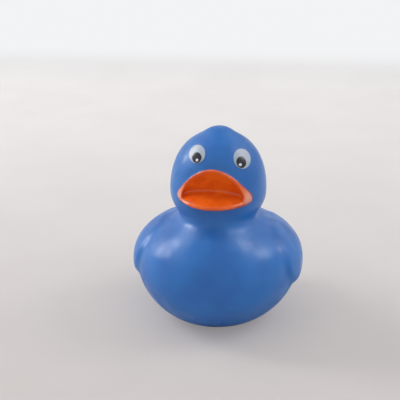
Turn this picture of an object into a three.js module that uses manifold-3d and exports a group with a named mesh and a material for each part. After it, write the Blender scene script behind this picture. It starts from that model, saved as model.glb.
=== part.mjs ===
// Rubber duck: a hollow vinyl bath duck with a sprayed beak, printed eyes and a squeaker in its base.
// Millimetres, +Z up. The beak points along -Y, the tail along +Y, and +X is the duck's left.

import * as THREE from "three";
import { mergeVertices } from "three/addons/utils/BufferGeometryUtils.js";
import Module from "manifold-3d";

const wasm = await Module();
wasm.setup();

// Body: heights are above the flat base, reaches are from the upright axis of the body
const bellyHeight = 26;
const bellyDrop = 30;
const bellyRise = 21.5;
const bellyHalfWidth = 36.3;
const breastReach = 42;
const rumpReach = 44;
const flankFullness = 2.15;
const rumpFullness = 2.4;
const breastRise = 24;
const breastFullness = 2;
const baseEdgeRadius = 2.5;

// Neck and head, with the head carried forward of the body's axis
const neckHeight = 44;
const neckSpan = 18;
const neckHalfWidth = 13;
const throatReach = 18;
const neckNapeReach = 18;
const neckFlareRise = 9;
const neckSideFlare = 6;
const throatFlare = 7;
const napeFlare = 8;
const headHeight = 59.2;
const headRise = 26;
const headDrop = 15.5;
const headHalfWidth = 21;
const headFullness = 2.15;
const faceFullness = 2.4;
const faceReach = 21;
const napeReach = 22;
const headForward = 6;
const sideFillet = 5;
const throatFillet = 15;
const napeFillet = 11;

// Moulded tuft on the crown
const tuftHeight = 2.2;
const tuftHalfWidth = 5;
const tuftHalfLength = 8;
const tuftSetback = 1;

// Wings: raised pads on the flanks, egg-shaped in side view, blunt in front, tip up and back
const wingY = 5;
const wingHeight = 31;
const wingHalfLength = 25;
const wingHalfHeight = 12;
const wingTaper = 0.35;
const wingTilt = 8;
const wingRelief = 2;
const wingEdgeShare = 0.35;
const wingSunk = 0.5;
const wingRoot = 1.5;

// Tail: a tapered lobe that turns up at its tip
const tailRootY = 24;
const tailRootHeight = 26;
const tailBendY = 44;
const tailBendHeight = 28;
const tailTipY = 51;
const tailTipHeight = 46;
const tailRootHalfWidth = 23;
const tailRootHalfDepth = 15;
const tailTipHalfWidth = 4.5;
const tailTipHalfDepth = 2.2;

// Beak: the open mouth stops short of its corners, the lower bill is a plate, the upper bill sweeps up.
// Reaches are forward of the corners and rises are above them. The bills run billRoot into the head.
const mouthHeight = 60.4;
const beakHalfWidth = 15.7;
const mouthHalfWidth = 12.8;
const mouthFullness = 7;
const creaseReach = 5;
const creaseRise = 4.2;
const lowerBillReach = 14;
const lipRise = 1.1;
const lowerBillThickness = 2.8;
const upperBillReach = 9;
const upperBillRise = 14;
const upperBillThickness = 1.5;
const billRoot = 3;
const billSag = 0.4;
const mouthDip = 0.5;
const mouthLift = 0.3;

// Eyes, laid by one printing pad that comes down on the face from padPitch degrees above level.
// Places are across the pad and up it, sizes are half widths and heights, leans are from upright.
const padPitch = 19;
const rightEye = { across: -7.6, up: 67.8, halfWidth: 3.6, halfHeight: 4 };
const leftEye = { across: 11.1, up: 67, halfWidth: 3.3, halfHeight: 4.3 };
const eyeLean = -15;
const pupilShare = 0.56;
const pupilInward = 0.1;
const pupilDrop = 1.55;
const glintRadius = 0.6;
const glintInward = 0.37;
const glintDrop = 2.6;
const inkThickness = 0.12;
const inkClearance = 0.08;

// Wall of the moulding, and the squeaker snapped into a boss in its base
const wall = 2;
const bossWall = 2.5;
const bossHeight = 4;
const bossChamfer = 1;
const flangeRadius = 8;
const flangeThickness = 1;
const flangeRecess = 0.3;
const barrelRadius = 5.6;
const barrelLength = 10;
const barrelBoreRadius = 3.6;
const snapBead = 0.7;
const soundHoleRadius = 1.2;
const squeakerFit = 0.3;
const reedThickness = 1.2;
const reedSeat = 5;

// Fineness of the meshes
const skinAround = 60;
const skinRows = 60;
const cavityAround = 36;
const cavityRows = 26;
const wingAround = 28;
const wingRows = 14;
const lobeAround = 20;
const lobeRows = 14;
const billRows = 20;
const billCurveSteps = 5;
const inkAround = 24;
const inkRows = 8;

const vinylColour = new THREE.Color(0x4478bc);
const beakColour = new THREE.Color(0xd2561c);
const vinyl = new THREE.MeshStandardMaterial({ vertexColors: true, roughness: 0.38, metalness: 0 });
const whiteInk = new THREE.MeshStandardMaterial({ color: 0xe9edf3, roughness: 0.35, metalness: 0 });
const blackInk = new THREE.MeshStandardMaterial({ color: 0x1b1b1e, roughness: 0.3, metalness: 0 });
const squeakerPlastic = new THREE.MeshStandardMaterial({ color: 0xf0eee6, roughness: 0.4, metalness: 0 });
const reedFilm = new THREE.MeshStandardMaterial({ color: 0xd8d4c8, roughness: 0.5, metalness: 0 });

const sideways = new THREE.Vector3(1, 0, 0);
const crownHeight = headHeight + headRise;

// How far an egg-shaped solid reaches from its axis at a height. Above its centre a fullness of 2
// gives an ellipse and more gives a squarer shoulder.
function eggReach(height, centre, rise, drop, reach, fullness = 2) {
  const share = height > centre ? (height - centre) / rise : (centre - height) / drop;
  const power = height > centre ? fullness : 2;
  return share >= 1 ? 0 : reach * (1 - share ** power) ** (1 / power);
}

// The larger of two reaches, with a fillet where they are nearly alike
function filletedMax(a, b, fillet) {
  const size = Math.min(fillet, 2 * Math.min(a, b));
  if (size <= 0) return Math.max(a, b);
  const near = Math.max(size - Math.abs(a - b), 0) / size;
  return Math.max(a, b) + (near * near * size) / 4;
}

// The reach of the whole skin at a height, from those of its belly, neck and head
function skinReach(height, belly, neck, head, fillet) {
  const low = eggReach(height, bellyHeight, belly.rise, bellyDrop, belly.reach, belly.fullness);
  const flared = 1 - THREE.MathUtils.smoothstep(height, neckHeight, neckHeight + neckFlareRise);
  const middle = eggReach(height, neckHeight, neckSpan, neckSpan, neck.reach + neck.flare * flared);
  const high = eggReach(height, headHeight, headRise, headDrop, head.reach, head.fullness);
  return filletedMax(filletedMax(low, middle, fillet), high, fillet);
}

const flank = { reach: bellyHalfWidth, rise: bellyRise, fullness: flankFullness };
const breast = { reach: breastReach, rise: breastRise, fullness: breastFullness };
const rump = { reach: rumpReach, rise: bellyRise, fullness: rumpFullness };
const neckSide = { reach: neckHalfWidth, flare: neckSideFlare };
const throat = { reach: throatReach, flare: throatFlare };
const neckNape = { reach: neckNapeReach, flare: napeFlare };
const cheek = { reach: headHalfWidth, fullness: headFullness };
const face = { reach: faceReach, fullness: faceFullness };
const nape = { reach: napeReach, fullness: headFullness };

// One level ring of the skin: its reach to the side, the front and the back, and where its centre lies
function ringAt(height) {
  const edge = Math.max(baseEdgeRadius - height, 0);
  const tuckIn = baseEdgeRadius - Math.sqrt(baseEdgeRadius ** 2 - edge ** 2);
  return {
    side: skinReach(height, flank, neckSide, cheek, sideFillet) - tuckIn,
    front: skinReach(height, breast, throat, face, throatFillet) - tuckIn,
    back: skinReach(height, rump, neckNape, nape, napeFillet) - tuckIn,
    centreY: -headForward * THREE.MathUtils.smoothstep(height, bellyHeight, headHeight),
  };
}

// The face's forward point at a height and a distance from the middle
function faceY(x, height) {
  const { side, front, centreY } = ringAt(height);
  return centreY - front * Math.sqrt(Math.max(1 - (x / side) ** 2, 0));
}

// A sphere whose poles lie at the ends of its rows, with every vertex put where place(row, turn) says.
// row runs from 0 at the upper pole to 1 at the lower, turn is the angle round the sphere.
function shapedSphere(around, rows, place) {
  const geometry = new THREE.SphereGeometry(1, around, rows);
  const position = geometry.attributes.position;
  for (let i = 0; i < position.count; i++) {
    const row = Math.floor(i / (around + 1));
    const turn = ((i % (around + 1)) / around) * 2 * Math.PI;
    const point = place(row / rows, turn);
    position.setXYZ(i, point.x, point.y, point.z);
  }
  geometry.deleteAttribute("normal");
  geometry.deleteAttribute("uv");
  const merged = mergeVertices(geometry);
  merged.computeVertexNormals();
  return merged;
}

// Moves every vertex inward along its normal
function thinned(geometry, depth) {
  const position = geometry.attributes.position;
  const vertex = new THREE.Vector3();
  const normal = new THREE.Vector3();
  for (let i = 0; i < position.count; i++) {
    vertex.fromBufferAttribute(position, i);
    normal.fromBufferAttribute(geometry.attributes.normal, i);
    vertex.addScaledVector(normal, -depth);
    position.setXYZ(i, vertex.x, vertex.y, vertex.z);
  }
  return geometry;
}

// How far the flank reaches at a height and a distance from front to back
function flankX(y, height) {
  const { side, front, back, centreY } = ringAt(height);
  const share = (y - centreY) / (y < centreY ? front : back);
  return side * Math.sqrt(Math.max(1 - share ** 2, 0));
}

// One wing, a pad that lies on the flank. way is 1 on the left side and -1 on the right.
function wingGeometry(way) {
  const tilt = THREE.MathUtils.degToRad(wingTilt);
  return shapedSphere(wingAround, wingRows, (row, turn) => {
    const spread = 1 - Math.abs(2 * row - 1);
    const along = -Math.cos(turn) * way * wingHalfLength * spread;
    const narrowing = 1 - (wingTaper * along) / wingHalfLength;
    const upward = -Math.sin(turn) * wingHalfHeight * narrowing * spread;
    const y = wingY + along * Math.cos(tilt) - upward * Math.sin(tilt);
    const height = wingHeight + along * Math.sin(tilt) + upward * Math.cos(tilt);
    const raised = THREE.MathUtils.smoothstep(1 - spread, 0, wingEdgeShare);
    const outer = (wingRelief + wingSunk) * raised - wingSunk;
    return new THREE.Vector3(way * (flankX(y, height) + (row < 0.5 ? outer : -wingRoot)), y, height);
  });
}

// The skin of body, neck and head, from the crown down to the rounded edge of the flat base
function skinGeometry(around, rows) {
  return shapedSphere(around, rows, (row, turn) => {
    const flatRows = 2 / rows;
    const down = Math.min(row / (1 - flatRows), 1);
    const height = (crownHeight * (1 + Math.cos(Math.PI * down))) / 2;
    const { side, front, back, centreY } = ringAt(height);
    const filled = Math.min((1 - row) / flatRows, 1);
    const x = -Math.cos(turn) * side * filled;
    const y = -Math.sin(turn) * (Math.sin(turn) > 0 ? front : back) * filled + centreY;
    const fromTuft = (x / tuftHalfWidth) ** 2 + ((y + headForward - tuftSetback) / tuftHalfLength) ** 2;
    const tuft = height > headHeight ? tuftHeight * Math.exp(-fromTuft) : 0;
    return new THREE.Vector3(x, y, height + tuft);
  });
}

function tailGeometry() {
  const spine = new THREE.QuadraticBezierCurve3(
    new THREE.Vector3(0, tailTipY, tailTipHeight),
    new THREE.Vector3(0, tailBendY, tailBendHeight),
    new THREE.Vector3(0, tailRootY, tailRootHeight),
  );
  return shapedSphere(lobeAround, lobeRows, (row, turn) => {
    const along = (1 - Math.cos(Math.PI * row)) / 2;
    const tangent = spine.getTangent(along).negate();
    const across = new THREE.Vector3().crossVectors(tangent, sideways);
    const closing = Math.sqrt(1 - (2 * along - 1) ** 6);
    const halfWidth = THREE.MathUtils.lerp(tailTipHalfWidth, tailRootHalfWidth, along) * closing;
    const halfDepth = THREE.MathUtils.lerp(tailTipHalfDepth, tailRootHalfDepth, along) * closing;
    return spine
      .getPoint(along)
      .addScaledVector(sideways, -Math.cos(turn) * halfWidth)
      .addScaledVector(across, -Math.sin(turn) * halfDepth);
  });
}

// Levels and reaches of the bills at a share of their size, from 0 at the corners to 1 in the middle.
// Powers below 1 keep the bills full towards the corners.
function billSizes(share) {
  const root = Math.sqrt(share);
  return {
    creaseOut: creaseReach * share,
    crease: creaseRise * share,
    lip: lowerBillReach * share ** 0.6,
    lipTop: lipRise * share,
    under: lipRise * share - lowerBillThickness * root,
    rim: upperBillReach * share ** 0.6,
    rimTop: upperBillRise * share ** 0.88,
    edge: upperBillThickness * root,
    back: -billRoot * root,
  };
}

// Side outline of the closed beak: under the lower bill, round its lip, straight across the mouth,
// round the upper rim and back down into the head. The multiples near 1 of lip and rim round those
// edges, and those near 0.5 set how full the long curves are.
function billOutline(share) {
  const { lip, lipTop, under, rim, rimTop, edge, back } = billSizes(share);
  const path = new THREE.Path();
  path.moveTo(back, under);
  path.quadraticCurveTo(lip * 0.6, under - billSag * share, lip * 0.9, under);
  path.quadraticCurveTo(lip * 1.04, (lipTop + under) / 2, lip * 0.96, lipTop);
  path.lineTo(rim, rimTop - edge);
  path.quadraticCurveTo(rim * 1.02, rimTop, rim - edge, rimTop);
  path.quadraticCurveTo(rim * 0.5, rimTop * 0.88, back, rimTop * 0.96);
  path.closePath();
  return path;
}

// Side outline of the open mouth: out along the lower bill, which dips a little, up past both edges,
// and back down the hollow palate to the crease. open runs from 0 at the mouth's ends to 1 in its middle.
function mouthOutline(share, open) {
  const { creaseOut, crease, lip, lipTop, rim, rimTop, edge } = billSizes(share);
  const foot = crease * open;
  const dip = mouthDip * share * open;
  const lower = (lipTop + mouthLift * share) * open;
  const upper = (rimTop - edge * 0.6) * open;
  const path = new THREE.Path();
  path.moveTo(creaseOut, foot);
  path.quadraticCurveTo((creaseOut + lip) / 2, (foot + lower) / 2 - dip, lip * 1.15, lower);
  path.lineTo(rim * 1.3, upper);
  path.lineTo(rim, upper);
  path.quadraticCurveTo(creaseOut, (foot + upper) / 2, creaseOut, foot);
  path.closePath();
  return path;
}

// Carries an outline from one side of the beak to the other, as far as halfWidth from its middle
function billGeometry(outline, halfWidth) {
  const cornerY = faceY(beakHalfWidth, mouthHeight);
  const around = outline(1, 1).getPoints(billCurveSteps).length - 1;
  return shapedSphere(around, billRows, (row, turn) => {
    const across = -Math.cos(Math.PI * row);
    const corner = new THREE.Vector3(across * halfWidth, cornerY, mouthHeight);
    if (row === 0 || row === 1) return corner;
    const share = 1 - (corner.x / beakHalfWidth) ** 2;
    const points = outline(share, Math.sqrt(1 - Math.abs(across) ** mouthFullness)).getPoints(billCurveSteps);
    const point = points[Math.round((turn / (2 * Math.PI)) * around) % around];
    return corner.add(new THREE.Vector3(0, -point.x, point.y));
  });
}

function toSolid(geometry) {
  const vertProperties = new Float32Array(geometry.attributes.position.array);
  const triVerts = new Uint32Array(geometry.index.array);
  return new wasm.Manifold(new wasm.Mesh({ numProp: 3, vertProperties, triVerts }));
}

// Turns a solid back into a geometry, with its triangles coloured by the solid they came from
function toGeometry(solid, colourOf) {
  const mesh = solid.getMesh();
  const corners = new Float32Array(mesh.triVerts.length * 3);
  const colours = new Float32Array(mesh.triVerts.length * 3);
  mesh.triVerts.forEach((vertex, corner) => {
    const from = vertex * mesh.numProp;
    corners.set(mesh.vertProperties.subarray(from, from + 3), corner * 3);
  });
  mesh.runOriginalID.forEach((id, run) => {
    for (let corner = mesh.runIndex[run]; corner < mesh.runIndex[run + 1]; corner++) {
      colourOf(id).toArray(colours, corner * 3);
    }
  });
  const geometry = new THREE.BufferGeometry();
  geometry.setAttribute("position", new THREE.BufferAttribute(corners, 3));
  geometry.setAttribute("color", new THREE.BufferAttribute(colours, 3));
  geometry.computeVertexNormals();
  return geometry;
}

// A turned shape about the upright axis, from a closed list of radius and height pairs
function turned(profile, around = 32) {
  const points = profile.map(([radius, height]) => new THREE.Vector2(radius, height));
  const geometry = new THREE.LatheGeometry(points.concat(points[0]), around).rotateX(Math.PI / 2);
  geometry.deleteAttribute("normal");
  geometry.deleteAttribute("uv");
  return mergeVertices(geometry);
}

// The moulding: skin, wings, tail and beak in one hollow piece, with a boss and a stepped seat in its
// base
function duckBody() {
  const beak = toSolid(billGeometry(billOutline, beakHalfWidth)).asOriginal();
  const mouth = toSolid(billGeometry(mouthOutline, mouthHalfWidth)).asOriginal();
  const seatRadius = flangeRadius + squeakerFit;
  const seatDepth = flangeRecess + flangeThickness + squeakerFit;
  const boreRadius = barrelRadius + squeakerFit;
  const boss = toSolid(turned([
    [0, wall / 2],
    [seatRadius + bossWall, wall / 2],
    [seatRadius + bossWall, bossHeight - bossChamfer],
    [seatRadius + bossWall - bossChamfer, bossHeight],
    [0, bossHeight],
  ]));
  const seat = toSolid(turned([
    [0, -wall],
    [seatRadius, -wall],
    [seatRadius, seatDepth],
    [boreRadius, seatDepth],
    [boreRadius, bossHeight + wall],
    [0, bossHeight + wall],
  ]));
  const cavity = toSolid(thinned(skinGeometry(cavityAround, cavityRows), wall)).subtract(beak);
  const solid = toSolid(skinGeometry(skinAround, skinRows))
    .add(toSolid(wingGeometry(-1)))
    .add(toSolid(wingGeometry(1)))
    .add(toSolid(tailGeometry()))
    .add(beak)
    .subtract(mouth)
    .subtract(cavity)
    .add(boss)
    .subtract(seat);
  const painted = [beak.originalID(), mouth.originalID()];
  return toGeometry(solid, (id) => (painted.includes(id) ? beakColour : vinylColour));
}

// Where the pad touches the face, for a place across and up the pad
function padTouch(across, up) {
  const pitch = THREE.MathUtils.degToRad(padPitch);
  const start = new THREE.Vector3(across, up * Math.sin(pitch), up * Math.cos(pitch));
  const outward = new THREE.Vector3(0, -Math.cos(pitch), Math.sin(pitch));
  const point = new THREE.Vector3();
  const steps = 16;
  const stride = 0.6;
  let reach = headHalfWidth;
  for (let i = 0; i < steps; i++) {
    point.copy(start).addScaledVector(outward, reach);
    reach -= stride * (faceY(point.x, point.z) - point.y);
  }
  return point;
}

// One layer of ink: a thin film that lies just off the face, or just off the layer below it
function inkGeometry(across, up, halfWidth, halfHeight, layer) {
  const lean = THREE.MathUtils.degToRad(eyeLean);
  const inner = inkClearance + layer * (inkThickness + inkClearance);
  const nudge = 0.01;
  return shapedSphere(inkAround, inkRows, (row, turn) => {
    const spread = 1 - Math.abs(2 * row - 1);
    const sideStep = -Math.cos(turn) * halfWidth * spread;
    const upStep = -Math.sin(turn) * halfHeight * spread;
    const spot = padTouch(
      across + sideStep * Math.cos(lean) + upStep * Math.sin(lean),
      up - sideStep * Math.sin(lean) + upStep * Math.cos(lean),
    );
    const slopeX = (faceY(spot.x + nudge, spot.z) - faceY(spot.x - nudge, spot.z)) / (2 * nudge);
    const slopeZ = (faceY(spot.x, spot.z + nudge) - faceY(spot.x, spot.z - nudge)) / (2 * nudge);
    const outward = new THREE.Vector3(slopeX, -1, slopeZ).normalize();
    const fromInner = (1 + Math.sign(0.5 - row)) / 2;
    return spot.addScaledVector(outward, inner + inkThickness * fromInner);
  });
}

// The squeaker's case: a flanged plate with a sound hole, and a barrel with a bead that snaps in
function squeakerCase() {
  const plateTop = flangeRecess + flangeThickness;
  const beadFoot = bossHeight + squeakerFit;
  const end = flangeRecess + barrelLength;
  return turned([
    [soundHoleRadius, flangeRecess],
    [flangeRadius, flangeRecess],
    [flangeRadius, plateTop],
    [barrelRadius, plateTop],
    [barrelRadius, beadFoot],
    [barrelRadius + snapBead, beadFoot + snapBead],
    [barrelRadius, beadFoot + 2 * snapBead],
    [barrelRadius, end],
    [barrelBoreRadius, end],
    [barrelBoreRadius, plateTop],
    [soundHoleRadius, plateTop],
  ]);
}

function squeakerReed() {
  const foot = flangeRecess + reedSeat;
  const radius = barrelBoreRadius - squeakerFit;
  return turned([
    [soundHoleRadius / 2, foot],
    [radius, foot],
    [radius, foot + reedThickness],
    [soundHoleRadius / 2, foot + reedThickness],
  ]);
}

const group = new THREE.Group();

function addPart(name, geometry, material) {
  const mesh = new THREE.Mesh(geometry, material);
  mesh.name = name;
  group.add(mesh);
}

addPart("duck_body", duckBody(), vinyl);

for (const [side, eye] of [["right", rightEye], ["left", leftEye]]) {
  const { across, up, halfWidth, halfHeight } = eye;
  const inward = -Math.sign(across);
  const pupilAcross = across + inward * pupilInward;
  const glintAcross = across + inward * glintInward;
  const white = inkGeometry(across, up, halfWidth, halfHeight, 0);
  const pupilWidth = halfWidth * pupilShare;
  const pupilHeight = halfHeight * pupilShare;
  const pupil = inkGeometry(pupilAcross, up - pupilDrop, pupilWidth, pupilHeight, 1);
  const glint = inkGeometry(glintAcross, up - glintDrop, glintRadius, glintRadius, 2);
  addPart(`eye_white_${side}`, white, whiteInk);
  addPart(`pupil_${side}`, pupil, blackInk);
  addPart(`glint_${side}`, glint, whiteInk);
}
addPart("squeaker_case", squeakerCase(), squeakerPlastic);
addPart("squeaker_reed", squeakerReed(), reedFilm);

// The origin is under the middle of the whole duck, on the surface that it stands on
const box = new THREE.Box3().setFromObject(group);
const middle = box.getCenter(new THREE.Vector3());
group.position.set(-middle.x, -middle.y, -box.min.z);

export default group;
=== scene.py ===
import math
from collections import namedtuple

import bmesh
import bpy
from bpy.props import FloatProperty, FloatVectorProperty, PointerProperty
from mathutils import Matrix, Vector
from mathutils.bvhtree import BVHTree


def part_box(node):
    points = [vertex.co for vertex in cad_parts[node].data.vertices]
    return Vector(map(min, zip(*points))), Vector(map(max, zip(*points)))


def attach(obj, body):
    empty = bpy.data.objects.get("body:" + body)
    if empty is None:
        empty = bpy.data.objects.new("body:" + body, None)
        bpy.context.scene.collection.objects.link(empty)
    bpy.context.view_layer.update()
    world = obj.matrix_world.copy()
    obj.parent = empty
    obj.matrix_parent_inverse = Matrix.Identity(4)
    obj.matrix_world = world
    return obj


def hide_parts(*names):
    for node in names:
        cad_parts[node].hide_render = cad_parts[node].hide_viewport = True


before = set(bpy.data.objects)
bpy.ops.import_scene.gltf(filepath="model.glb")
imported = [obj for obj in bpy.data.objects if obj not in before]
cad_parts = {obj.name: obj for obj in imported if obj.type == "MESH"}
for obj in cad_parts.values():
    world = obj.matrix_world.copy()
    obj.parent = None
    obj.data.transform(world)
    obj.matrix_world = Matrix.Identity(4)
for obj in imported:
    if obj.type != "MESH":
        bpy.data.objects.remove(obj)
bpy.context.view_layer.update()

bl_info = {
    "name": "Rubber Duck",
    "version": (1, 0, 0),
    "blender": (4, 5, 0),
    "location": "3D View > Sidebar > Duck",
    "description": "Models a vinyl bath duck with its sprayed beak, printed eyes, squeaker and studio",
    "category": "Add Mesh",
}

MM = 0.001
# Where the body's upright axis stands along y. The duck faces -y.
AXIS_Y = (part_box("squeaker_case")[0][1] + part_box("squeaker_case")[1][1]) / 2

# Fineness of the meshes. Body, wings and tail are remeshed coarsely, so that their flanks soften
# widely, and once more finely with the beak. The softenings say how often a skin is evened out.
SKIN_SEGMENTS = 48
SKIN_RINGS = 60
SMOOTH_LEVELS = 2
COARSE_VOXEL = 0.8 * MM
VOXEL = 0.57 * MM
FLANK_SOFTENING = 34
SOFTENING = 6

# Fillets between belly, neck and head
SIDE_FILLET = 5 * MM
THROAT_FILLET = 15 * MM
NAPE_FILLET = 11 * MM


def linear(hex_colour):
    """A colour written as sRGB hex, as the linear colour that the shaders take"""
    parts = [int(hex_colour[i:i + 2], 16) / 255 for i in (0, 2, 4)]
    return [part / 12.92 if part <= 0.04045 else ((part + 0.055) / 1.055) ** 2.4 for part in parts]


def length(name, description, millimetres):
    return FloatProperty(name=name, description=description, default=millimetres * MM, unit="LENGTH")


def number(name, description, value):
    return FloatProperty(name=name, description=description, default=value)


def angle(name, description, degrees):
    return FloatProperty(name=name, description=description, default=math.radians(degrees), subtype="ANGLE")


def colour(name, description, hex_colour):
    return FloatVectorProperty(
        name=name, description=description, default=linear(hex_colour), subtype="COLOR", min=0, max=1
    )


class BodySizes(bpy.types.PropertyGroup):
    belly_height: length("Belly height", "Height of the belly's widest ring", 26)
    belly_drop: length("Belly drop", "Depth of the belly's egg below its widest ring", 30)
    belly_rise: length("Belly rise", "Height of the flanks and rump above the widest ring", 21.5)
    breast_rise: length("Breast rise", "Height of the breast above the widest ring", 24)
    belly_half_width: length("Belly half width", "From the axis to the flank", 36.3)
    breast_reach: length("Breast reach", "From the axis to the breast", 42)
    rump_reach: length("Rump reach", "From the axis to the rump", 44)
    flank_fullness: number("Flank fullness", "2 is round, more is squarer", 2.15)
    rump_fullness: number("Rump fullness", "2 is round, more is squarer", 2.4)
    base_edge: length("Base edge", "Radius of the edge round the flat base", 2.5)
    neck_height: length("Neck height", "Height of the neck's waist", 44)
    neck_span: length("Neck span", "How far the neck runs into body and head", 18)
    neck_half_width: length("Neck half width", "From the axis to the neck's side", 13)
    neck_reach: length("Neck reach", "From the axis to throat and nape", 18)
    flare_rise: length("Flare rise", "Height over which the neck flares into the body", 9)
    side_flare: length("Side flare", "How far the neck flares at its sides", 6)
    throat_flare: length("Throat flare", "How far the throat flares into the breast", 7)
    nape_flare: length("Nape flare", "How far the nape flares into the back", 8)
    head_height: length("Head height", "Height of the head's widest ring", 59.2)
    head_rise: length("Head rise", "From there to the crown", 26)
    head_drop: length("Head drop", "Depth of the head's egg below its widest ring", 15.5)
    head_half_width: length("Head half width", "From the axis to the cheek", 21)
    face_reach: length("Face reach", "From the head's middle to the face", 21)
    nape_reach: length("Nape reach", "From the head's middle to the back of the head", 22)
    head_fullness: number("Head fullness", "2 is round, more is squarer", 2.25)
    face_fullness: number("Face fullness", "2 is round, more is squarer", 2.4)
    head_forward: length("Head forward", "How far the head stands forward of the body's axis", 6)
    tuft_height: length("Tuft height", "Rise of the moulded tuft on the crown", 2.15)
    tuft_radius: length("Tuft radius", "Reach of the tuft's soft foot", 7.5)


class WingTailSizes(bpy.types.PropertyGroup):
    wing_y: length("Wing middle", "Widest place of the wing, behind the axis", -4)
    wing_height: length("Wing height", "Height of the wing's middle line", 31)
    wing_half_height: length("Wing half height", "Half the wing's height at its widest", 12.5)
    wing_front_reach: length("Wing front reach", "From the widest place to the blunt front", 15)
    wing_tip_reach: length("Wing tip reach", "From the widest place to the tip", 32)
    wing_tip_rise: length("Wing tip rise", "How far the tip turns up", 5)
    relief: length("Wing relief", "How far the wing stands proud of the flank", 1.9)
    tail_root_y: length("Tail root", "Where the tail starts inside the rump", 24)
    tail_root_height: length("Tail root height", "Height of the tail's root", 26)
    tail_bend_y: length("Tail bend", "Where the tail turns up", 44)
    tail_bend_height: length("Tail bend height", "Height of that turn", 28)
    tail_tip_y: length("Tail tip", "Where the tail ends", 51)
    tail_tip_height: length("Tail tip height", "Height of the tail's end", 46)
    tail_root_half_width: length("Tail root half width", "Half the tail's width at its root", 23)
    tail_root_half_depth: length("Tail root half depth", "Half the tail's depth at its root", 15)
    tail_tip_half_width: length("Tail tip half width", "Half the tail's width at its tip", 4.5)
    tail_tip_half_depth: length("Tail tip half depth", "Half the tail's depth at its tip", 2.2)


class BeakSizes(bpy.types.PropertyGroup):
    mouth_height: length("Mouth height", "Height of the corners of the beak", 60.4)
    half_width: length("Beak half width", "From the middle to the corner of the beak", 15.4)
    mouth_half_width: length("Mouth half width", "From the middle to the corner of the open mouth", 13.1)
    mouth_fullness: number("Mouth fullness", "How squarely the mouth ends at its corners", 10)
    lower_reach: length("Lower bill reach", "How far the lower bill stands out from the corners", 14)
    lower_thickness: length("Lower bill thickness", "Thickness of the lower bill", 1.5)
    lip_rise: length("Lip rise", "Height of the lower bill's lip above the corners", -0.7)
    crease_reach: length("Crease reach", "How far the mouth's inner crease lies before the corners", 4)
    crease_rise: length("Crease rise", "Height of the mouth's inner crease above the corners", 3.9)
    upper_reach: length("Upper bill reach", "How far the upper bill's rim stands out", 9)
    upper_rise: length("Upper bill rise", "Height of the upper bill's rim above the corners", 14.4)
    upper_thickness: length("Upper bill thickness", "Thickness of the upper bill at its rim", 1.2)


class PrintSizes(bpy.types.PropertyGroup):
    pad_pitch: angle("Pad pitch", "How steeply the printing pad comes down on the face", 19)
    lean: angle("Eye lean", "How far the eyes lean to the duck's left", -15)
    pupil_share: number("Pupil share", "Size of the pupil beside the white", 0.56)
    pupil_inward: length("Pupil inward", "How far the pupil sits towards the beak's middle", 0.1)
    pupil_drop: length("Pupil drop", "How far the pupil sits below the white's middle", 1.55)
    glint_radius: length("Glint radius", "Radius of the pale dot on the pupil", 0.6)
    glint_inward: length("Glint inward", "How far the glint sits towards the beak's middle", 0.37)
    glint_drop: length("Glint drop", "How far the glint sits below the white's middle", 2.6)
    ink_thickness: length("Ink thickness", "Thickness of one printed layer", 0.1)
    ink_clearance: length("Ink clearance", "Air left below each printed layer", 0.06)


class SqueakerSizes(bpy.types.PropertyGroup):
    recess: length("Recess", "How far the squeaker sits up inside the base", 0.3)
    flange_radius: length("Flange radius", "Radius of the plate in the base", 8)
    flange_thickness: length("Flange thickness", "Thickness of that plate", 1)
    barrel_radius: length("Barrel radius", "Outer radius of the barrel", 5.6)
    barrel_length: length("Barrel length", "Length of the case with its plate", 10)
    bore_radius: length("Bore radius", "Inner radius of the barrel", 3.6)
    bead: length("Bead", "How far the bead that snaps in stands out", 0.7)
    bead_height: length("Bead height", "Height of the bead's foot", 4.3)
    hole_radius: length("Hole radius", "Radius of the sound hole", 1.2)
    reed_radius: length("Reed radius", "Radius of the reed", 3.3)
    reed_seat: length("Reed seat", "Height of the reed above the plate's face", 5)
    reed_thickness: length("Reed thickness", "Thickness of the reed", 1.2)
    fit: length("Fit", "Air between the squeaker and its seat", 0.3)


class Finishes(bpy.types.PropertyGroup):
    vinyl: colour("Vinyl", "Pigment of the moulding", "1f70be")
    vinyl_deep: colour("Vinyl, deep", "Where the pigment lies a little thicker", "1a66b4")
    overspray: colour("Overspray", "Thin edge of the beak's paint over the vinyl", "7b4f7c")
    beak: colour("Beak paint", "Sprayed paint on the beak", "ee6510")
    beak_deep: colour("Beak paint, deep", "Where the spray lies thicker", "e2560a")
    # Pale pink of the beak's corners: partly thin spray, partly a painted highlight
    beak_thin_and_sheen: colour("Beak paint, thin", "Where the spray runs out over the beak's corners", "dfa08c")
    white_ink: colour("White ink", "Ink of the whites", "aab4c3")
    glint_ink: colour("Glint ink", "Ink of the glints", "dce2ec")
    black_ink: colour("Black ink", "Ink of the pupils", "1b1b1e")
    squeaker: colour("Squeaker", "Plastic of the squeaker's case", "f0eee6")
    reed: colour("Reed", "Plastic of the squeaker's reed", "d8d4c8")
    floor: colour("Floor", "Painted board that the duck stands on", "cac3c0")
    # Lighter far board: painted light, standing in for more light falling there from behind
    floor_far_lit: colour("Floor, far", "The board where it runs up to the wall", "e8e5e3")
    wall: colour("Wall", "Board behind the duck", "f2f3f5")


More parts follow.
